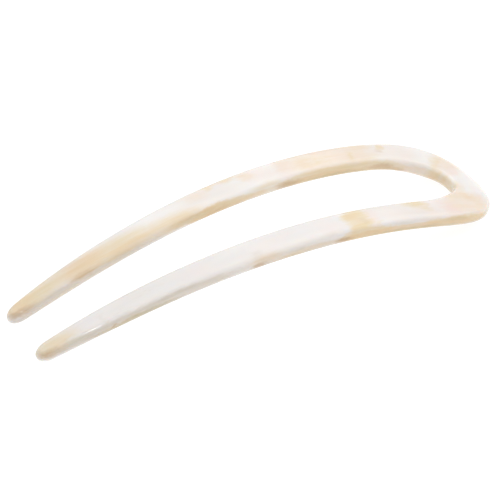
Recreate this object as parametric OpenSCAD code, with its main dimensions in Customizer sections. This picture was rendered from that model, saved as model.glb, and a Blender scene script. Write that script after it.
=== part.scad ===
// A two-pronged hair pin in one piece, cut from thick acetate sheet and bent into an arch.
// The U-shaped blank is laid out flat first: u runs from the tips to the crown, v across.
// It is then bent lengthwise, and stands on its two tips and the outer edge of its crown.
// In the finished pin X runs from the tips to the crown, Y across the prongs and Z up.

/* [Blank] */
// Length of the blank while it is flat, from the tips to the outer edge of the crown
pin_len = 127; // [100:1:150]
// Thickness of the sheet
sheet_t = 3.4; // [2.8:0.1:4.4]
// Width of a prong where it meets the bow
prong_w = 8; // [6:0.1:10]
// Width of a prong at its tip, before the tip is rounded off
tip_w = 4.1; // [3.2:0.1:6]
// Width of the bow at the middle of the crown
crown_w = 8.8; // [7:0.1:12]
// Extra width of the bow at its shoulders, halfway from a prong to the crown
shoulder_w = 1.5; // [0:0.1:2.5]

/* [Outline] */
// Distance between the prongs' centre lines at the tips
tip_pitch = 15.4; // [12:0.1:20]
// Distance between the prongs' centre lines where the bow starts
bow_pitch = 26.4; // [22:0.1:34]
// Length of the bow, from the end of the prongs to the centre line of the crown
bow_len = 22; // [16:0.5:28]
// Squareness of the bow's shoulders, where 2 makes an ellipse
bow_power = 2.4; // [2:0.1:2.8]
// How late the prongs draw together, where 1 makes them straight
spread_power = 1.5; // [1:0.1:2.5]
// How late the prongs grow thin, where 1 makes an even taper
taper_power = 5; // [1:0.5:8]

/* [Bend] */
// Radius of the arch at the tips
tip_bend_r = 260; // [160:5:600]
// Radius of the arch halfway along the pin
mid_bend_r = 154; // [110:1:300]
// Radius of the arch at the crown
crown_bend_r = 106; // [80:1:300]

/* [Edges] */
// Length over which each tip is rounded off, seen from above
nose_len = 3.5; // [2:0.1:6]
// Radius of the rounded edges at the bow
bow_edge_r = 1.2; // [0.4:0.1:1.4]
// Radius of the rounded edges towards the tips
tip_edge_r = 1.6; // [0.6:0.1:1.6]
// Share of the prong, from its tip, that has the tips' rounder edges
tip_edge_share = 0.3; // [0.1:0.05:0.5]
// Share of the prong, from its tip, where the bow's crisper edges begin
bow_edge_share = 0.8; // [0.6:0.05:1]

/* [Hidden] */

acetate_colour = [0.93, 0.88, 0.80];

// Number of sections along the nose of a tip, the rest of a prong and half the bow
nose_steps = 7;
prong_steps = 40;
bow_steps = 22;
// Number of steps round each of a section's four rounded corners
corner_steps = 5;
// Number of steps in which the arch is followed from its middle to a point
arch_steps = 20;
// Number of rounds in which the pin is tilted until both its ends touch the ground
level_rounds = 5;

half_len = pin_len / 2;
prong_len = pin_len - crown_w / 2 - bow_len;
nose_t = sheet_t / 2;

function mix(a, b, share) = a + (b - a) * share;
function clamp(x) = max(0, min(1, x));
function smooth(x) = let (c = clamp(x)) c * c * (3 - 2 * c);

// Share of the full size that an elliptic end of the given length has at distance d from its tip
function rounded_end(d, length) = let (c = clamp(1 - d / length)) sqrt(1 - c * c);

// A station along the centre line holds u, v, the width, the thickness and the edge radius
function station(u, v, w, t, r) = [u, v, w, t, min(r, w / 2, t / 2)];

function edge_r(share) =
    mix(tip_edge_r, bow_edge_r,
        smooth((share - tip_edge_share) / (bow_edge_share - tip_edge_share)));

function prong_station(d) =
    let (to_bow = 1 - d / prong_len)
    station(d,
        mix(bow_pitch, tip_pitch, pow(to_bow, spread_power)) / 2,
        mix(prong_w, tip_w, pow(to_bow, taper_power)) * rounded_end(d, nose_len),
        sheet_t * rounded_end(d, nose_t),
        edge_r(d / prong_len));

function bow_station(share) =
    let (a = 90 * (1 - share))
    station(prong_len + bow_len * pow(cos(a), 2 / bow_power),
        bow_pitch / 2 * pow(sin(a), 2 / bow_power),
        mix(prong_w, crown_w, smooth(share)) + shoulder_w * pow(sin(180 * share), 2),
        sheet_t,
        bow_edge_r);

// One half of the pin, from just behind the point of its tip to the middle of the crown
half_stations = concat(
    [for (i = [1:nose_steps]) prong_station(nose_len * (1 - cos(90 * i / nose_steps)))],
    [for (i = [1:prong_steps]) prong_station(mix(nose_len, prong_len, i / prong_steps))],
    [for (i = [1:bow_steps]) bow_station(i / bow_steps)]);

function other_side(s) = [s[0], -s[1], s[2], s[3], s[4]];

// The whole pin, from the tip on the side of -Y round the crown to the tip on the side of +Y
stations = concat(
    [for (s = half_stations) other_side(s)],
    [for (i = [len(half_stations) - 2:-1:0]) half_stations[i]]);
last = len(stations) - 1;

// Direction of the centre line at station i, from the stations before and after it
function heading(i) =
    let (a = stations[max(i - 1, 0)], b = stations[min(i + 1, last)],
        along = [b[0] - a[0], b[1] - a[1]])
    along / norm(along);

// A section's four corners, in the order in which the skin goes round them
corners = [[1, 1], [-1, 1], [-1, -1], [1, -1]];

// The section at station i as points in the flat blank: u, v and the height over its middle
function section(i) =
    let (s = stations[i], dir = heading(i), flat_w = s[2] / 2 - s[4], flat_t = s[3] / 2 - s[4])
    [for (corner = [0:3], step = [0:corner_steps])
        let (a = 90 * (corner + step / corner_steps),
            across = corners[corner].x * flat_w + s[4] * cos(a),
            up = corners[corner].y * flat_t + s[4] * sin(a))
        [s[0] - dir.y * across, s[1] + dir.x * across, up]];

// The arch, whose curvature changes evenly from the tips to the middle and on to the crown
function curvature(u) =
    u < half_len
    ? mix(1 / tip_bend_r, 1 / mid_bend_r, u / half_len)
    : mix(1 / mid_bend_r, 1 / crown_bend_r, u / half_len - 1);
function slope(u) = (u - half_len) * (curvature(u) + 1 / mid_bend_r) / 2 * 180 / PI;
function arch(u) =
    let (step = (u - half_len) / arch_steps)
    [for (i = [1:arch_steps]) step]
    * [for (i = [1:arch_steps]) let (a = slope(half_len + (i - 0.5) * step)) [cos(a), -sin(a)]];

// A point of the flat blank, moved to where the bend takes it
function bent(p) =
    let (a = slope(p[0]), foot = arch(p[0]))
    [foot.x + p[2] * sin(a), p[1], foot.y + p[2] * cos(a)];

side_count = 4 * (corner_steps + 1);
tip_point = bent([0, tip_pitch / 2, 0]);
skin = concat(
    [for (i = [0:last], p = section(i)) bent(p)],
    [[tip_point.x, -tip_point.y, tip_point.z], tip_point]);

// The pin is tilted until the lowest points of its tip half and its crown half are level
function tilted(p, a) = [p.x * cos(a) + p.z * sin(a), p.y, p.z * cos(a) - p.x * sin(a)];
function level(a, rounds) =
    rounds == 0
    ? a
    : let (moved = [for (p = skin) tilted(p, a)],
        tips_z = min([for (p = moved) if (p.x < 0) p.z]),
        crown_z = min([for (p = moved) if (p.x > 0) p.z]))
    level(a + atan((crown_z - tips_z) / pin_len), rounds - 1);

rest_tilt = level(0, level_rounds);
rest_skin = [for (p = skin) tilted(p, rest_tilt)];
mid_x = (min([for (p = rest_skin) p.x]) + max([for (p = rest_skin) p.x])) / 2;
low_z = min([for (p = rest_skin) p.z]);

// Faces between neighbouring sections, and a fan of them round each tip's point
function ring_point(i, k) = i * side_count + k % side_count;
skin_faces = concat(
    [for (i = [0:last - 1], k = [0:side_count - 1])
        [ring_point(i + 1, k), ring_point(i + 1, k + 1), ring_point(i, k + 1), ring_point(i, k)]],
    [for (k = [0:side_count - 1])
        [ring_point(0, k), ring_point(0, k + 1), (last + 1) * side_count]],
    [for (k = [0:side_count - 1])
        [ring_point(last, k + 1), ring_point(last, k), (last + 1) * side_count + 1]]);

// The whole pin: two prongs, the bow that joins them, and their rounded edges and tips
module hair_pin() {
    color(acetate_colour)
        translate([-mid_x, 0, -low_z])
            polyhedron(points = rest_skin, faces = skin_faces, convexity = 6);
}

hair_pin();
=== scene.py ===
import math

import bmesh
import bpy
import numpy as np
from mathutils import Matrix, Vector


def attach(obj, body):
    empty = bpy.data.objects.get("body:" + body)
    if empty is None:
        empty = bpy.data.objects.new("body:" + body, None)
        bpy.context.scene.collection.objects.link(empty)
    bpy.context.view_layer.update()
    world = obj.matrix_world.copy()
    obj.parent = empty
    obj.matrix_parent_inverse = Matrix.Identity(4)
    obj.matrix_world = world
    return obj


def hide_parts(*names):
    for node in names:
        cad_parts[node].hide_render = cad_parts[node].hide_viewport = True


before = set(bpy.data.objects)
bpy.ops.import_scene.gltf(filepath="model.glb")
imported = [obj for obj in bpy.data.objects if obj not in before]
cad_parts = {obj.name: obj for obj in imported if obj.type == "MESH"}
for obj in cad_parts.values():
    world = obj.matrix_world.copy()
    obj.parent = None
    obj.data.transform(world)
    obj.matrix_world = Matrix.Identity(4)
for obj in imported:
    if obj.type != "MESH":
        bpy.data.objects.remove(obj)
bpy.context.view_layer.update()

# Measures of the hair pin, the same as those of the solid that it replaces, lengths in millimetres.
# The blank lies flat first, with u from the tips to the crown and v across, and is then bent.
PIN_LEN = 127.0
SHEET_T = 3.4
PRONG_W = 8.0
TIP_W = 4.1
CROWN_W = 8.8
SHOULDER_W = 1.5
# The outline: distances between the prongs' centre lines, the bow's length and three powers that
# set how square the bow is and how late the prongs draw together and grow thin
TIP_PITCH = 15.4
BOW_PITCH = 26.4
BOW_LEN = 22.0
BOW_POWER = 2.4
SPREAD_POWER = 1.5
TAPER_POWER = 5.0
# Radii of the arch at the tips, halfway and at the crown
TIP_BEND_R = 260.0
MID_BEND_R = 154.0
CROWN_BEND_R = 106.0
# The rounding of tips and edges, and the shares of a prong between which its edges change
NOSE_LEN = 3.5
BOW_EDGE_R = 1.2
TIP_EDGE_R = 1.6
TIP_EDGE_SHARE = 0.3
BOW_EDGE_SHARE = 0.8

MM = 0.001
HALF_LEN = PIN_LEN / 2
PRONG_LEN = PIN_LEN - CROWN_W / 2 - BOW_LEN
NOSE_T = SHEET_T / 2

# How finely the skin is divided: sections along the pin, and points round each section
NOSE_STEPS = 14
PRONG_STEPS = 150
BOW_STEPS = 60
CORNER_STEPS = 8
TOP_STEPS = 6
WALL_STEPS = 2
# How finely the arch is followed, how far past its ends, and the rounds that set it level
ARCH_STEPS = 2540
ARCH_MARGIN = 2.0
LEVEL_ROUNDS = 5

# The photograph's view: its width and focal length in pixels, the sensor's width in millimetres,
# and the camera's angles, distance and aim
FRAME_PX = 500.0
FOCAL_PX = 3000.0
SENSOR_WIDTH = 36.0
AZIMUTH = math.radians(-28.5)
ELEVATION = math.radians(37.7)
DISTANCE = 709.5 * MM
AIM = Vector((0.0, 0.0, 14.0)) * MM
AIM_RIGHT = -1.58 * MM
AIM_UP = -7.64 * MM

# The white floor, with half its side in metres, and the light from all round
FLOOR_HALF = 3.0
FLOOR_GREY = (0.30, 0.30, 0.30, 1.0)
FLOOR_ROUGHNESS = 0.8
FLOOR_GLOW = 0.80
WORLD_GLOW = 0.45
WHITE = (1.0, 1.0, 1.0, 1.0)

# The sheet's own two colours, and the pigments, of which a later one covers an earlier
PEARL = (0.89, 0.865, 0.84)
LILAC = (0.82, 0.795, 0.78)
PIGMENTS = {
    "blush": (0.87, 0.785, 0.735),
    "rose": (0.87, 0.71, 0.64),
    "peach": (0.86, 0.73, 0.60),
    # grey smoke in the marbling, and painted shade that darkens the walls and ridges
    "smoke_and_shade": (0.60, 0.52, 0.41),
    "gold": (0.80, 0.66, 0.42),
    "honey": (0.79, 0.60, 0.37),
    "amber": (0.77, 0.60, 0.38),
    "olive": (0.50, 0.44, 0.25),
    "brown": (0.58, 0.40, 0.23),
}

# How closely each noise is packed along, across and through the sheet, in features a millimetre
LILAC_STRETCH = (0.035, 0.11, 0.2)
STREAK_STRETCH = (0.06, 0.9, 0.9)
SMEAR_STRETCH = (0.08, 0.5, 0.5)
WAVE_STRETCH = (0.10, 0.16, 0.16)
SCRATCH_STRETCH = (0.4, 14.0, 14.0)
# Two noises that feather the clouds' edges, each with its reach in millimetres
FEATHERS = (
    ((0.10, 0.50, 0.45), (4.0, 1.4, 1.0)),
    ((0.6, 1.3, 1.2), (2.6, 1.2, 0.8)),
)

# The polish: a scratch's depth as a share of a wave's, and the waves' own depth in metres
SCRATCH_SHARE = 0.012
WAVE_DEPTH = 6e-5
ACETATE_IOR = 1.48
# The light scattered below the surface: its share, and its reach in red, green and blue, as shares
# of a scale in metres
SCATTER_SHARE = 0.4
SCATTER_REACH = (1.0, 0.75, 0.5)
SCATTER_SCALE = 0.0015

# The marbling, as clouds of pigment in the sheet; the grey clouds are partly grey marbling and partly
# painted shade that darkens the walls and ridges. "near" is the prong on the side of -Y and "far"
# the other, each with its half of the bow. A row gives a cloud's pigment, its distance from the
# prong's tip along the centre line, its places across (towards the side of -Y) and over the
# sheet's middle, its half sizes in those three directions, its slant in degrees, its strength and
# the softness of its edge as a share of its size. THROUGH is a half size that reaches all the way
# through. Lengths are in millimetres.
THROUGH = 40.0
CLOUDS = {
    "near": [
        # the tip
        ("gold", 4.5, 0.4, 1.7, 9.0, 4.2, 2.2, 0.0, 0.72, 0.80),
        ("honey", 6.0, 0.8, 1.7, 5.0, 1.8, 2.0, 0.0, 0.30, 0.90),
        ("olive", 2.5, 0.3, 1.4, 4.5, 3.2, 2.0, 0.0, 0.10, 0.90),
        ("brown", 2.6, 2.1, 0.8, 6.5, 1.5, 1.5, 7.0, 0.72, 0.80),
        ("olive", 9.5, 2.5, 0.9, 7.5, 1.3, 1.3, 3.0, 0.32, 0.80),
        # the long white stretch, the honey along its outer wall, and painted shade darkening that wall
        ("olive", 24.0, 0.0, 1.7, 9.0, 5.0, THROUGH, 0.0, 0.05, 0.90),
        ("olive", 17.6, 1.2, 1.7, 1.3, 3.6, THROUGH, 0.0, 0.12, 0.90),
        ("smoke_and_shade", 28.0, 0.0, 0.0, 32.5, THROUGH, 1.76, 0.0, 0.66, 0.50),
        ("smoke_and_shade", 13.4, 3.4, -0.2, 8.8, 1.4, 1.4, 0.0, 0.85, 0.80),
        ("olive", 25.0, 3.6, -0.5, 14.5, 1.5, 1.1, 0.0, 0.85, 0.70),
        ("honey", 22.0, 3.5, -0.2, 8.0, 1.2, 1.0, 0.0, 0.45, 0.90),
        ("brown", 19.6, 3.2, 0.0, 0.9, 0.9, 0.8, 0.0, 0.65, 0.80),
        ("blush", 42.0, 1.0, 1.7, 8.0, 4.0, THROUGH, 20.0, 0.40, 0.90),
        ("blush", 60.0, 0.5, 1.7, 9.0, 3.5, THROUGH, -15.0, 0.40, 0.90),
        ("smoke_and_shade", 56.0, 2.4, 1.7, 2.4, 2.0, 1.0, 12.0, 0.25, 0.90),
        ("honey", 58.0, 3.7, 0.6, 7.0, 1.6, 1.5, 0.0, 0.60, 0.80),
        ("brown", 56.2, 4.0, -0.5, 3.0, 1.0, 1.2, 0.0, 0.80, 0.80),
        ("smoke_and_shade", 65.0, 0.0, -0.4, 20.0, THROUGH, 1.8, 0.0, 0.34, 0.60),
        ("honey", 68.0, 0.0, -0.6, 14.0, THROUGH, 1.7, 0.0, 0.42, 0.70),
        ("olive", 66.0, 3.9, 0.4, 3.5, 0.9, 0.9, 0.0, 0.25, 0.90),
        ("gold", 62.0, 3.2, 1.5, 20.0, 1.5, 1.3, 0.0, 0.12, 0.90),
        ("amber", 64.0, 4.0, -0.8, 7.0, 1.0, 1.1, 0.0, 0.60, 0.80),
        ("olive", 62.0, 0.0, -1.7, 14.0, THROUGH, 1.8, 0.0, 0.30, 0.70),
        ("blush", 76.0, 1.0, 1.7, 4.5, 4.0, THROUGH, 15.0, 0.55, 0.90),
        ("smoke_and_shade", 75.0, 3.0, 1.7, 5.0, 1.0, 1.2, -8.0, 0.16, 0.90),
        # the gold and rose bars over the prong
        ("gold", 83.3, 0.2, 1.7, 4.4, 8.5, THROUGH, 2.0, 0.95, 0.55),
        ("gold", 85.2, 2.2, 1.7, 3.0, 3.4, THROUGH, 20.0, 0.80, 0.80),
        ("honey", 83.0, -1.2, 1.7, 2.8, 3.2, THROUGH, 0.0, 0.50, 0.90),
        ("honey", 83.6, 1.0, 1.7, 2.8, 2.6, THROUGH, 15.0, 0.42, 0.90),
        ("olive", 84.8, 1.4, 1.7, 1.8, 2.2, THROUGH, 0.0, 0.16, 0.90),
        ("gold", 88.4, 3.0, 1.5, 1.8, 1.0, 1.2, -25.0, 0.35, 0.90),
        ("smoke_and_shade", 95.0, 0.0, 1.7, 16.0, 6.0, THROUGH, 10.0, 0.14, 0.90),
        ("blush", 94.0, 0.0, 1.7, 8.0, 6.0, THROUGH, 10.0, 0.60, 0.90),
        ("rose", 87.2, 0.5, 1.7, 3.0, 5.5, THROUGH, 10.0, 0.50, 0.80),
        ("gold", 100.6, -3.0, 1.7, 4.8, 3.8, THROUGH, 6.0, 0.85, 0.80),
        ("gold", 102.6, -0.8, 1.7, 2.4, 3.0, THROUGH, -8.0, 0.62, 0.90),
        ("blush", 103.0, 0.8, 1.7, 7.0, 6.0, THROUGH, 15.0, 0.90, 0.80),
        # the amber core, which shows on the walls, and painted shade darkening the walls and ridge
        ("brown", 78.0, 4.1, -0.5, 3.4, 1.2, 1.3, 0.0, 0.88, 0.80),
        ("gold", 84.5, 0.0, 0.1, 8.0, THROUGH, 1.75, 0.0, 0.95, 0.35),
        ("amber", 84.0, 0.0, -0.7, 7.5, THROUGH, 1.75, 0.0, 0.75, 0.50),
        ("amber", 80.8, 4.0, 0.5, 2.2, 1.0, 1.0, 0.0, 0.60, 0.80),
        ("smoke_and_shade", 94.5, 4.1, 0.9, 6.0, 1.0, 0.6, 0.0, 0.30, 0.80),
        ("honey", 94.5, 0.0, -0.75, 22.0, THROUGH, 1.70, 0.0, 0.85, 0.35),
        ("smoke_and_shade", 104.0, 3.4, 1.4, 20.0, 1.3, 1.2, 0.0, 0.16, 0.90),
        ("amber", 97.0, 0.0, -1.2, 13.5, THROUGH, 1.60, 0.0, 0.80, 0.45),
        ("brown", 102.0, 4.3, -0.7, 3.5, 1.0, 0.9, 0.0, 0.35, 0.90),
        ("olive", 98.0, 0.0, -1.7, 21.0, THROUGH, 1.7, 0.0, 0.50, 0.60),
        ("gold", 110.0, 0.0, 0.3, 11.5, THROUGH, 1.25, 0.0, 0.90, 0.35),
        ("honey", 109.5, 0.0, 0.1, 11.0, THROUGH, 1.00, 0.0, 0.68, 0.40),
        ("olive", 109.0, 4.3, 0.6, 7.0, 0.9, 0.8, 0.0, 0.28, 0.80),
        ("smoke_and_shade", 117.0, 0.0, -0.4, 8.0, THROUGH, 1.7, 0.0, 0.50, 0.60),
        # the shoulder of the bow, with painted shade on the crown's outer ridge
        ("blush", 108.0, 0.5, 1.7, 7.5, 7.0, THROUGH, 20.0, 0.85, 0.80),
        ("rose", 109.8, 1.0, 1.7, 4.6, 6.0, THROUGH, 22.0, 0.85, 0.80),
        ("peach", 116.5, -0.4, 1.7, 8.0, 8.0, THROUGH, -15.0, 0.95, 0.50),
        ("rose", 121.0, 1.8, 1.7, 3.2, 3.6, THROUGH, -30.0, 0.60, 0.90),
        ("gold", 115.0, -2.8, 1.7, 4.5, 2.4, THROUGH, 10.0, 0.45, 0.90),
        ("gold", 125.0, -3.8, 1.0, 6.5, 2.4, 2.4, 0.0, 0.60, 0.90),
        ("honey", 119.2, -0.8, 1.7, 2.8, 3.4, THROUGH, -25.0, 0.45, 0.90),
        ("gold", 119.0, 2.4, 1.7, 1.8, 2.4, THROUGH, -20.0, 0.35, 0.90),
        ("blush", 128.0, 4.4, 1.0, 8.0, 2.0, 2.0, 0.0, 0.90, 0.80),
        ("smoke_and_shade", 128.0, 4.0, 1.2, 8.0, 2.0, 2.0, 0.0, 0.20, 0.90),
    ],
    "far": [
        # the tip and the long honey stretch, with painted shade darkening their walls
        ("gold", 9.5, 0.0, 1.9, 12.5, 5.0, 1.8, 0.0, 0.88, 0.70),
        ("honey", 3.5, 0.0, 1.9, 6.0, 3.4, 1.5, 0.0, 0.70, 0.80),
        ("olive", 10.5, 0.6, 1.7, 6.5, 2.4, 1.2, 0.0, 0.14, 0.90),
        ("brown", 2.5, 1.5, 1.2, 7.0, 1.3, 1.2, 6.0, 0.62, 0.80),
        ("smoke_and_shade", 10.0, 0.0, -0.3, 13.0, THROUGH, 1.8, 0.0, 0.70, 0.40),
        ("gold", 15.0, 3.2, -0.6, 12.0, 1.6, 1.3, 0.0, 0.35, 0.90),
        ("honey", 21.5, 0.7, 1.7, 9.5, 4.6, 1.8, 0.0, 0.95, 0.75),
        ("amber", 20.5, 1.0, 1.7, 6.0, 3.0, 1.5, 0.0, 0.50, 0.90),
        ("honey", 20.5, 2.7, 1.2, 6.0, 1.6, 1.5, 0.0, 0.90, 0.90),
        ("gold", 31.0, 1.4, 1.7, 16.0, 4.6, 2.4, 4.0, 0.82, 0.80),
        ("gold", 41.0, 2.0, 1.7, 6.5, 3.2, 2.4, 5.0, 0.65, 0.90),
        ("honey", 34.0, 2.6, 1.5, 17.0, 3.0, 2.2, 4.0, 0.50, 0.90),
        ("gold", 46.0, 3.0, 1.7, 12.0, 3.6, 2.6, 7.0, 0.75, 0.80),
        ("honey", 48.0, 3.6, 1.4, 9.0, 2.2, 2.0, 7.0, 0.50, 0.90),
        ("brown", 20.3, 3.0, 1.0, 5.5, 1.2, 1.2, 2.0, 0.45, 0.90),
        ("amber", 30.0, 3.2, 0.8, 14.0, 1.0, 0.7, 2.0, 0.45, 0.80),
        ("smoke_and_shade", 30.0, 0.0, -0.3, 22.0, THROUGH, 1.6, 0.0, 0.60, 0.60),
        ("gold", 26.0, 3.6, -0.5, 14.0, 1.6, 1.5, 0.0, 0.30, 0.90),
        ("amber", 48.0, 3.8, 0.3, 12.0, 1.5, 1.3, 0.0, 0.80, 0.80),
        ("olive", 50.0, 3.8, 0.4, 8.0, 1.3, 1.0, 0.0, 0.22, 0.90),
        ("honey", 55.0, 3.9, 0.7, 7.0, 1.3, 1.2, 0.0, 0.75, 0.90),
        ("gold", 58.0, 0.0, 0.0, 11.5, THROUGH, 1.55, 0.0, 0.90, 0.40),
        ("amber", 57.0, 4.0, -0.4, 12.0, 1.5, 1.5, 0.0, 0.95, 0.60),
        ("brown", 58.0, 4.2, -0.8, 7.0, 1.0, 1.1, 0.0, 0.42, 0.90),
        # the peach and white stretch
        ("peach", 54.0, -1.5, 1.7, 6.5, 4.0, THROUGH, 10.0, 0.65, 0.90),
        ("peach", 56.0, 0.5, 1.7, 14.0, 6.0, THROUGH, 0.0, 0.24, 0.90),
        ("peach", 62.0, -3.4, 1.7, 13.0, 2.2, THROUGH, -3.0, 0.80, 0.80),
        ("gold", 58.2, -2.3, 1.7, 1.8, 1.6, THROUGH, 0.0, 0.55, 0.80),
        ("gold", 63.6, -2.6, 1.7, 3.4, 1.8, THROUGH, 0.0, 0.50, 0.90),
        ("peach", 67.8, -1.4, 1.7, 3.2, 2.8, THROUGH, 25.0, 0.95, 0.80),
        ("honey", 67.6, -1.8, 1.7, 2.0, 1.4, THROUGH, 25.0, 0.25, 0.90),
        ("gold", 71.0, 3.6, 1.1, 7.0, 1.4, 1.1, 0.0, 0.50, 0.80),
        ("honey", 67.8, 4.1, -0.2, 4.2, 1.2, 1.4, 0.0, 0.60, 0.80),
        ("blush", 71.0, -0.5, 1.7, 6.5, 5.0, THROUGH, 20.0, 0.75, 0.90),
        ("smoke_and_shade", 75.5, 0.5, 1.7, 7.0, 5.0, THROUGH, -10.0, 0.14, 0.90),
        ("peach", 78.2, -1.2, 1.7, 4.6, 3.8, THROUGH, -30.0, 0.90, 0.90),
        ("rose", 78.0, -0.5, 1.7, 4.0, 7.0, THROUGH, 20.0, 0.65, 0.90),
        ("peach", 91.0, 0.0, 1.7, 17.0, 9.0, THROUGH, 0.0, 0.90, 0.50),
        ("honey", 83.0, 0.2, 1.7, 4.5, 3.4, THROUGH, 35.0, 0.30, 0.90),
        ("rose", 90.5, -0.8, 1.7, 5.5, 3.0, THROUGH, 20.0, 0.40, 0.90),
        ("gold", 95.9, 1.2, 1.7, 1.4, 3.6, THROUGH, 15.0, 0.62, 0.90),
        ("honey", 101.0, -2.0, 1.7, 4.2, 1.6, THROUGH, 0.0, 0.28, 0.90),
        ("gold", 100.0, 3.0, 1.7, 3.8, 0.9, 0.9, 0.0, 0.40, 0.90),
        ("gold", 105.6, -1.6, 1.7, 1.6, 2.2, THROUGH, 15.0, 0.75, 0.80),
        ("brown", 104.8, -0.1, 1.7, 1.6, 1.0, THROUGH, 20.0, 0.25, 0.90),
        ("smoke_and_shade", 113.0, 0.0, 1.7, 6.0, 6.0, THROUGH, 15.0, 0.06, 0.90),
        ("blush", 110.0, 1.0, 1.7, 9.0, 8.0, THROUGH, 15.0, 0.85, 0.80),
        # the amber core, which shows on the walls, and painted shade darkening the walls and ridge
        ("gold", 70.5, 0.0, -0.5, 6.0, THROUGH, 1.6, 0.0, 0.60, 0.60),
        ("smoke_and_shade", 104.0, 3.4, 1.4, 22.0, 1.3, 1.2, 0.0, 0.14, 0.90),
        ("smoke_and_shade", 117.0, 4.2, 1.1, 8.0, 1.4, 1.1, 0.0, 0.46, 0.90),
        ("brown", 76.9, 4.1, -0.2, 4.6, 1.1, 1.6, 0.0, 0.80, 0.80),
        ("gold", 86.0, 0.0, 0.2, 16.0, THROUGH, 1.70, 0.0, 0.82, 0.42),
        ("amber", 86.0, 0.0, -0.7, 14.5, THROUGH, 1.70, 0.0, 0.90, 0.45),
        ("olive", 96.0, 4.2, 1.0, 4.0, 1.0, 0.7, 0.0, 0.10, 0.90),
        ("olive", 90.5, 0.0, -1.7, 16.0, THROUGH, 1.7, 0.0, 0.40, 0.60),
        ("gold", 102.0, 0.0, 0.0, 12.0, THROUGH, 1.62, 0.0, 0.70, 0.40),
        ("amber", 101.0, 0.0, -0.9, 11.5, THROUGH, 1.62, 0.0, 0.75, 0.50),
        ("brown", 104.4, 4.1, -0.3, 5.0, 1.1, 1.5, 0.0, 0.65, 0.80),
        ("brown", 109.0, 4.1, -0.9, 3.6, 1.1, 0.9, 0.0, 0.55, 0.80),
        ("honey", 116.5, 0.0, -0.3, 9.0, THROUGH, 1.6, 0.0, 0.42, 0.60),
        # the shoulder of the bow
        ("peach", 118.8, 0.8, 1.7, 1.4, 6.0, THROUGH, 0.0, 0.30, 0.90),
        ("gold", 120.2, 0.0, 1.7, 1.9, THROUGH, THROUGH, 3.0, 0.45, 0.80),
        ("peach", 122.2, 0.0, 1.7, 3.2, THROUGH, THROUGH, 2.0, 0.85, 0.60),
        ("gold", 121.0, 3.6, 1.2, 4.5, 1.6, 1.0, 0.0, 0.45, 0.90),
        ("rose", 125.2, 0.8, 1.7, 3.0, 6.0, THROUGH, -22.0, 0.80, 0.80),
        ("gold", 127.0, 0.0, 0.1, 9.5, THROUGH, 1.60, 0.0, 0.68, 0.40),
        ("amber", 127.0, 0.0, -0.7, 9.0, THROUGH, 1.4, 0.0, 0.40, 0.50),
        ("olive", 125.5, 4.4, 0.4, 5.0, 1.0, 0.9, 0.0, 0.16, 0.80),
    ],
}


def mix(a, b, share):
    """The value that lies this share of the way from a to b."""
    return a + (b - a) * share


def smooth(x):
    """A soft step, from 0 where x is 0 or less to 1 where x is 1 or more."""
    c = np.clip(x, 0.0, 1.0)
    return c * c * (3.0 - 2.0 * c)


def rounded_end(d, length):
    """Share of the full size that an elliptic end of this length has at distance d from its tip."""
    c = np.clip(1.0 - d / length, 0.0, 1.0)
    return np.sqrt(1.0 - c * c)


def half_stations():
    """Columns u, v, width, thickness and edge radius, from one tip to the middle of the crown."""
    nose = NOSE_LEN * (1.0 - np.cos(np.pi / 2 * np.arange(1, NOSE_STEPS + 1) / NOSE_STEPS))
    rest = mix(NOSE_LEN, PRONG_LEN, np.arange(1, PRONG_STEPS + 1) / PRONG_STEPS)
    d = np.concatenate([nose, rest])
    to_bow = 1.0 - d / PRONG_LEN
    edge = smooth((d / PRONG_LEN - TIP_EDGE_SHARE) / (BOW_EDGE_SHARE - TIP_EDGE_SHARE))
    prong = np.stack([
        d,
        mix(BOW_PITCH, TIP_PITCH, to_bow ** SPREAD_POWER) / 2,
        mix(PRONG_W, TIP_W, to_bow ** TAPER_POWER) * rounded_end(d, NOSE_LEN),
        SHEET_T * rounded_end(d, NOSE_T),
        mix(TIP_EDGE_R, BOW_EDGE_R, edge),
    ], axis=1)
    share = np.arange(1, BOW_STEPS + 1) / BOW_STEPS
    a = np.pi / 2 * (1.0 - share)
    bow = np.stack([
        PRONG_LEN + BOW_LEN * np.cos(a) ** (2.0 / BOW_POWER),
        BOW_PITCH / 2 * np.abs(np.sin(a)) ** (2.0 / BOW_POWER),
        mix(PRONG_W, CROWN_W, smooth(share)) + SHOULDER_W * np.sin(np.pi * share) ** 2,
        np.full_like(a, SHEET_T),
        np.full_like(a, BOW_EDGE_R),
    ], axis=1)
    both = np.concatenate([prong, bow])
    # An edge's radius is at most half the width and half the thickness
    both[:, 4] = np.minimum(both[:, 4], both[:, 2:4].min(axis=1) / 2)
    return both


def all_stations():
    """The whole pin, from the tip on the side of -Y round the crown to the tip on the side of +Y."""
    half = half_stations()
    near = half.copy()
    near[:, 1] *= -1.0
    return np.concatenate([near, half[-2::-1]])


def headings(stations):
    """Direction of the centre line at each station, from the stations before and after it."""
    ahead = np.empty((len(stations), 2))
    ahead[1:-1] = stations[2:, :2] - stations[:-2, :2]
    ahead[0] = stations[1, :2] - stations[0, :2]
    ahead[-1] = stations[-1, :2] - stations[-2, :2]
    return ahead / np.linalg.norm(ahead, axis=1)[:, None]


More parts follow.
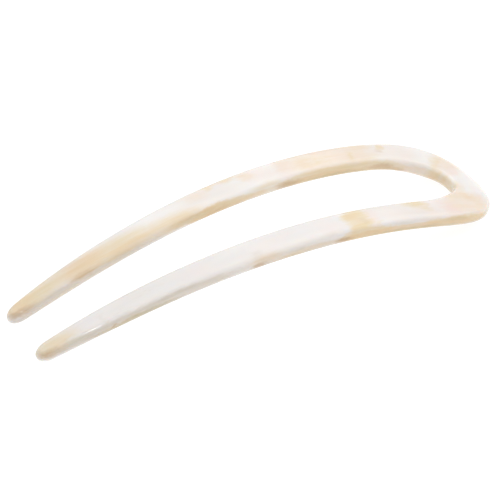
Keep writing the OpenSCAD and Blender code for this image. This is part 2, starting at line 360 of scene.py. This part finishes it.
def section(station):
    """Points round one section, as distance across the prong and height over the sheet's middle."""
    _, _, width, thickness, r = station
    flat_w, flat_t = width / 2 - r, thickness / 2 - r
    corners = [(flat_w, flat_t), (-flat_w, flat_t), (-flat_w, -flat_t), (flat_w, -flat_t)]
    points = []
    for k, (x, z) in enumerate(corners):
        for step in range(CORNER_STEPS + 1):
            a = math.pi / 2 * (k + step / CORNER_STEPS)
            points.append((x + r * math.cos(a), z + r * math.sin(a)))
        next_x, next_z = corners[(k + 1) % len(corners)]
        a = math.pi / 2 * (k + 1)
        start = np.array([x + r * math.cos(a), z + r * math.sin(a)])
        end = np.array([next_x + r * math.cos(a), next_z + r * math.sin(a)])
        steps = TOP_STEPS if k % 2 == 0 else WALL_STEPS
        points += [tuple(mix(start, end, i / steps)) for i in range(1, steps)]
    return np.array(points)


def slope(u):
    """Angle of the arch at u along the flat blank, in radians, level at the blank's middle."""
    share = u / HALF_LEN
    curvature = np.where(
        u < HALF_LEN,
        mix(1 / TIP_BEND_R, 1 / MID_BEND_R, share),
        mix(1 / MID_BEND_R, 1 / CROWN_BEND_R, share - 1.0))
    return (u - HALF_LEN) * (curvature + 1 / MID_BEND_R) / 2


def bent(u, v, height):
    """Points of the flat blank, moved to where the bend takes them."""
    grid = np.linspace(-ARCH_MARGIN, PIN_LEN + ARCH_MARGIN, ARCH_STEPS + 1)
    middle = (grid[1:] + grid[:-1]) / 2
    step = grid[1] - grid[0]
    x = np.concatenate([[0.0], np.cumsum(np.cos(slope(middle)) * step)])
    z = np.concatenate([[0.0], np.cumsum(-np.sin(slope(middle)) * step)])
    x -= np.interp(HALF_LEN, grid, x)
    z -= np.interp(HALF_LEN, grid, z)
    a = slope(u)
    return np.stack([
        np.interp(u, grid, x) + height * np.sin(a),
        v,
        np.interp(u, grid, z) + height * np.cos(a),
    ], axis=-1)


def tilted(points, a):
    """The points turned by the angle a about Y, which lowers the crown and lifts the tips."""
    c, s = math.cos(a), math.sin(a)
    x, y, z = points[..., 0], points[..., 1], points[..., 2]
    return np.stack([x * c + z * s, y, z * c - x * s], axis=-1)


def standing(points):
    """The points tilted until tips and crown are level, and set on the ground round the origin."""
    a = 0.0
    for _ in range(LEVEL_ROUNDS):
        moved = tilted(points, a)
        tips = moved[moved[:, 0] < 0][:, 2].min()
        crown = moved[moved[:, 0] > 0][:, 2].min()
        a += math.atan((crown - tips) / PIN_LEN)
    moved = tilted(points, a)
    moved[:, 0] -= (moved[:, 0].min() + moved[:, 0].max()) / 2
    moved[:, 2] -= moved[:, 2].min()
    return moved


def skin_faces(last, ring):
    """Faces between neighbouring sections, and a fan of them round the point of each tip."""
    faces = []
    for i in range(last):
        for k in range(ring):
            n = (k + 1) % ring
            faces.append((i * ring + k, i * ring + n, (i + 1) * ring + n, (i + 1) * ring + k))
    near_point = (last + 1) * ring
    far_point = near_point + 1
    for k in range(ring):
        n = (k + 1) % ring
        faces.append((n, k, near_point))
        faces.append((last * ring + k, last * ring + n, far_point))
    return faces


def make_pin():
    """The pin, and its length along the centre line, with two places kept for each point.

    Both are in millimetres: "place" is the run from the near tip, the distance across and the
    height over the sheet's middle, and "sheet" is the point in the flat sheet.
    """
    stations = all_stations()
    steps = np.linalg.norm(np.diff(stations[:, :2], axis=0), axis=1)
    run = np.concatenate([[stations[0, 0]], stations[0, 0] + np.cumsum(steps)])
    run_length = run[-1] + stations[-1, 0]

    sheet, place = [], []
    for station, heading, distance in zip(stations, headings(stations), run):
        points = section(station)
        across, up = points[:, 0], points[:, 1]
        u, v = station[0] - heading[1] * across, station[1] + heading[0] * across
        sheet.append(np.stack([u, v, up], axis=1))
        place.append(np.stack([np.full(len(points), distance), -across, up], axis=1))
    ring = len(sheet[0])
    sheet.append(np.array([[0.0, -TIP_PITCH / 2, 0.0], [0.0, TIP_PITCH / 2, 0.0]]))
    place.append(np.array([[0.0, 0.0, 0.0], [run_length, 0.0, 0.0]]))
    sheet, place = np.concatenate(sheet), np.concatenate(place)
    skin = standing(bent(sheet[:, 0], sheet[:, 1], sheet[:, 2]))

    mesh = bpy.data.meshes.new("hair_pin_marbled")
    mesh.from_pydata([tuple(p) for p in skin * MM], [], skin_faces(len(stations) - 1, ring))
    mesh.polygons.foreach_set("use_smooth", [True] * len(mesh.polygons))
    for name, values in (("place", place), ("sheet", sheet)):
        kept = mesh.attributes.new(name, "FLOAT_VECTOR", "POINT")
        kept.data.foreach_set("vector", values.astype(np.float32).ravel())
    mesh.update()
    shaped = bmesh.new()
    shaped.from_mesh(mesh)
    bmesh.ops.recalc_face_normals(shaped, faces=shaped.faces)
    shaped.to_mesh(mesh)
    shaped.free()
    piece = bpy.data.objects.new("hair_pin_marbled", mesh)
    bpy.context.scene.collection.objects.link(piece)
    return piece, run_length


def make_camera():
    """The photograph's view: a long lens from the tips' side, above the ground and with no roll."""
    back = Vector((
        math.sin(AZIMUTH) * math.cos(ELEVATION),
        -math.cos(AZIMUTH) * math.cos(ELEVATION),
        math.sin(ELEVATION)))
    right = Vector((math.cos(AZIMUTH), math.sin(AZIMUTH), 0.0))
    up = back.cross(right)
    data = bpy.data.cameras.new("camera")
    data.sensor_width = SENSOR_WIDTH
    data.lens = data.sensor_width * FOCAL_PX / FRAME_PX
    data.clip_start, data.clip_end = 0.05, 20.0
    camera = bpy.data.objects.new("camera", data)
    bpy.context.scene.collection.objects.link(camera)
    turned = Matrix((right, up, back)).transposed().to_4x4()
    turned.translation = AIM + right * AIM_RIGHT + up * AIM_UP + back * DISTANCE
    camera.matrix_world = turned
    bpy.context.scene.camera = camera


def make_floor():
    """A wide floor of dull grey that glows, so that it reads as white round the pin."""
    half = FLOOR_HALF
    corners = [(-half, -half, 0), (half, -half, 0), (half, half, 0), (-half, half, 0)]
    mesh = bpy.data.meshes.new("floor")
    mesh.from_pydata(corners, [], [(0, 1, 2, 3)])
    floor = bpy.data.objects.new("floor", mesh)
    bpy.context.scene.collection.objects.link(floor)
    material = bpy.data.materials.new("floor_white")
    material.use_nodes = True
    shader = material.node_tree.nodes["Principled BSDF"]
    shader.inputs["Base Color"].default_value = FLOOR_GREY
    shader.inputs["Roughness"].default_value = FLOOR_ROUGHNESS
    shader.inputs["Specular IOR Level"].default_value = 0.0
    shader.inputs["Emission Color"].default_value = WHITE
    shader.inputs["Emission Strength"].default_value = FLOOR_GLOW
    mesh.materials.append(material)


def area_light(name, size, power, at, to):
    """A rectangular light of this size in metres and power in watts, turned towards a point."""
    data = bpy.data.lights.new(name, "AREA")
    data.shape = "RECTANGLE"
    data.size, data.size_y = size
    data.energy = power
    light = bpy.data.objects.new(name, data)
    bpy.context.scene.collection.objects.link(light)
    light.location = at
    light.rotation_euler = (Vector(to) - Vector(at)).to_track_quat("-Z", "Y").to_euler()


def make_lights():
    """Soft light from all round, from overhead and from behind, and a lamp for the small glints."""
    world = bpy.data.worlds.new("studio")
    bpy.context.scene.world = world
    world.use_nodes = True
    world.node_tree.nodes["Background"].inputs["Color"].default_value = WHITE
    world.node_tree.nodes["Background"].inputs["Strength"].default_value = WORLD_GLOW
    area_light("softbox", size=(3.0, 3.0), power=26.6, at=(0.95, 0.45, 1.10), to=(0.95, 0.45, 0.0))
    area_light("backdrop", size=(4.0, 1.2), power=3.0, at=(2.2, 2.2, 0.6), to=(0.0, 0.0, 0.6))
    area_light("lamp", size=(0.020, 0.014), power=0.55, at=(-0.303, -0.4385, 0.771), to=(0.0, 0.0, 0.0))


class Graph:
    """Adds nodes to a material, and wires or sets their inputs."""

    def __init__(self, material):
        material.use_nodes = True
        self.nodes = material.node_tree.nodes
        self.links = material.node_tree.links

    @staticmethod
    def socket(sockets, key):
        """The socket with this number, or the one in use that has this name."""
        if isinstance(key, int):
            return sockets[key]
        return next(s for s in sockets if s.name == key and s.enabled)

    def feed(self, node, inputs):
        """Wires each of the node's inputs that is given a socket, and sets the others."""
        for key, value in inputs.items():
            socket = self.socket(node.inputs, key)
            if isinstance(value, bpy.types.NodeSocket):
                self.links.new(value, socket)
            else:
                socket.default_value = value

    def add(self, kind, inputs, output=0, **settings):
        """Adds a node with these settings and inputs, and returns one of its outputs."""
        node = self.nodes.new("ShaderNode" + kind)
        for name, value in settings.items():
            setattr(node, name, value)
        self.feed(node, inputs)
        return self.socket(node.outputs, output)

    def math(self, operation, a, b):
        """One operation on two numbers."""
        return self.add("Math", {0: a, 1: b}, operation=operation)

    def vector_math(self, operation, a, b):
        """One operation on two vectors."""
        return self.add("VectorMath", {0: a, 1: b}, operation=operation)

    def noise(self, place, stretch, detail=2.0, roughness=0.5, output=0):
        """Noise whose features are 1 / stretch millimetres long in each direction."""
        scaled = self.vector_math("MULTIPLY", place, stretch)
        inputs = {"Vector": scaled, "Scale": 1.0, "Detail": detail, "Roughness": roughness}
        return self.add("TexNoise", inputs, output, noise_dimensions="3D")

    def ramp(self, value, start, end, low=0.0, high=1.0):
        """A soft step from low to high as the value goes from start to end."""
        inputs = {"Value": value, "From Min": start, "From Max": end, "To Min": low, "To Max": high}
        return self.add("MapRange", inputs, interpolation_type="SMOOTHSTEP")

    def blend(self, share, a, b):
        """The colour that lies this share of the way from a to b."""
        a, b = (c if isinstance(c, bpy.types.NodeSocket) else (*c, 1.0) for c in (a, b))
        return self.add("Mix", {"Factor": share, "A": a, "B": b}, "Result", data_type="RGBA")


def cloud(graph, place, run_length, prong, row):
    """Strength of one cloud of pigment at each place in the sheet."""
    _, along, across, up, length, width, height, slant, strength, softness = row
    near = prong == "near"
    centre = (along if near else run_length - along, across if near else -across, up)
    size = (length, width, height)
    if slant:
        inputs = {"Vector": place, "Center": centre, "Angle": -math.radians(slant)}
        place = graph.add("VectorRotate", inputs, rotation_type="Z_AXIS")
    inputs = {0: place, 1: [1 / s for s in size], 2: [-c / s for c, s in zip(centre, size)]}
    local = graph.add("VectorMath", inputs, operation="MULTIPLY_ADD")
    distance = graph.add("VectorMath", {0: local}, "Value", operation="LENGTH")
    return graph.ramp(distance, 1.0, 1.0 - softness, 0.0, strength)


def make_acetate(run_length):
    """Polished marbled acetate: pearl white with clouds of honey, gold and amber through it, and
    painted shade on its walls and ridges.
    """
    material = bpy.data.materials.new("marbled_acetate")
    graph = Graph(material)
    place = graph.add("Attribute", {}, "Vector", attribute_name="place")
    sheet = graph.add("Attribute", {}, "Vector", attribute_name="sheet")

    # Clouds drift along the prong in feathery streaks
    drifted = place
    for stretch, reach in FEATHERS:
        feather = graph.noise(place, stretch, detail=3.0, roughness=0.6, output="Color")
        shift = graph.vector_math("SUBTRACT", feather, (0.5, 0.5, 0.5))
        shift = graph.vector_math("MULTIPLY", shift, reach)
        drifted = graph.vector_math("ADD", drifted, shift)

    # The sheet itself: pearl with wide lilac patches and fine blush streaks
    patch = graph.ramp(graph.noise(sheet, LILAC_STRETCH), start=0.40, end=0.65)
    colour = graph.blend(patch, PEARL, LILAC)
    streak = graph.noise(sheet, STREAK_STRETCH, detail=3.0, roughness=0.6)
    blush = graph.ramp(streak, start=0.45, end=0.75, low=0.0, high=0.35)
    colour = graph.blend(blush, colour, PIGMENTS["blush"])

    # At each place the strongest cloud of a pigment counts, and the streaks thin it
    thinning = {"start": 0.30, "end": 0.70, "low": 1.0, "high": 0.65}
    # The grey pigment paints shade on the walls and ridges as well as grey marbling
    for pigment, tone in PIGMENTS.items():
        rows = [(prong, row) for prong in CLOUDS for row in CLOUDS[prong] if row[0] == pigment]
        masks = [cloud(graph, drifted, run_length, *item) for item in rows]
        mask = masks[0]
        for other in masks[1:]:
            mask = graph.math("MAXIMUM", mask, other)
        mask = graph.math("MULTIPLY", mask, graph.ramp(streak, **thinning))
        colour = graph.blend(mask, colour, tone)

    # The polish: smears of softer gloss, low waves and fine scratches
    smear = graph.noise(place, SMEAR_STRETCH, detail=2.0)
    wave = graph.noise(place, WAVE_STRETCH, detail=1.0)
    scratch = graph.noise(place, SCRATCH_STRETCH, detail=2.0, roughness=0.7)
    relief = graph.math("ADD", wave, graph.math("MULTIPLY", scratch, SCRATCH_SHARE))
    normal = graph.add("Bump", {"Strength": 1.0, "Distance": WAVE_DEPTH, "Height": relief})
    graph.feed(graph.nodes["Principled BSDF"], {
        "Base Color": colour,
        "Roughness": graph.ramp(smear, start=0.3, end=0.7, low=0.06, high=0.12),
        "Normal": normal,
        "IOR": ACETATE_IOR,
        "Subsurface Weight": SCATTER_SHARE,
        "Subsurface Radius": SCATTER_REACH,
        "Subsurface Scale": SCATTER_SCALE,
    })
    return material


bpy.context.scene.view_settings.view_transform = "Standard"
pin, run_length = make_pin()
pin.data.materials.append(make_acetate(run_length))
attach(pin, "root")
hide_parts("hair_pin")
make_camera()
make_floor()
make_lights()
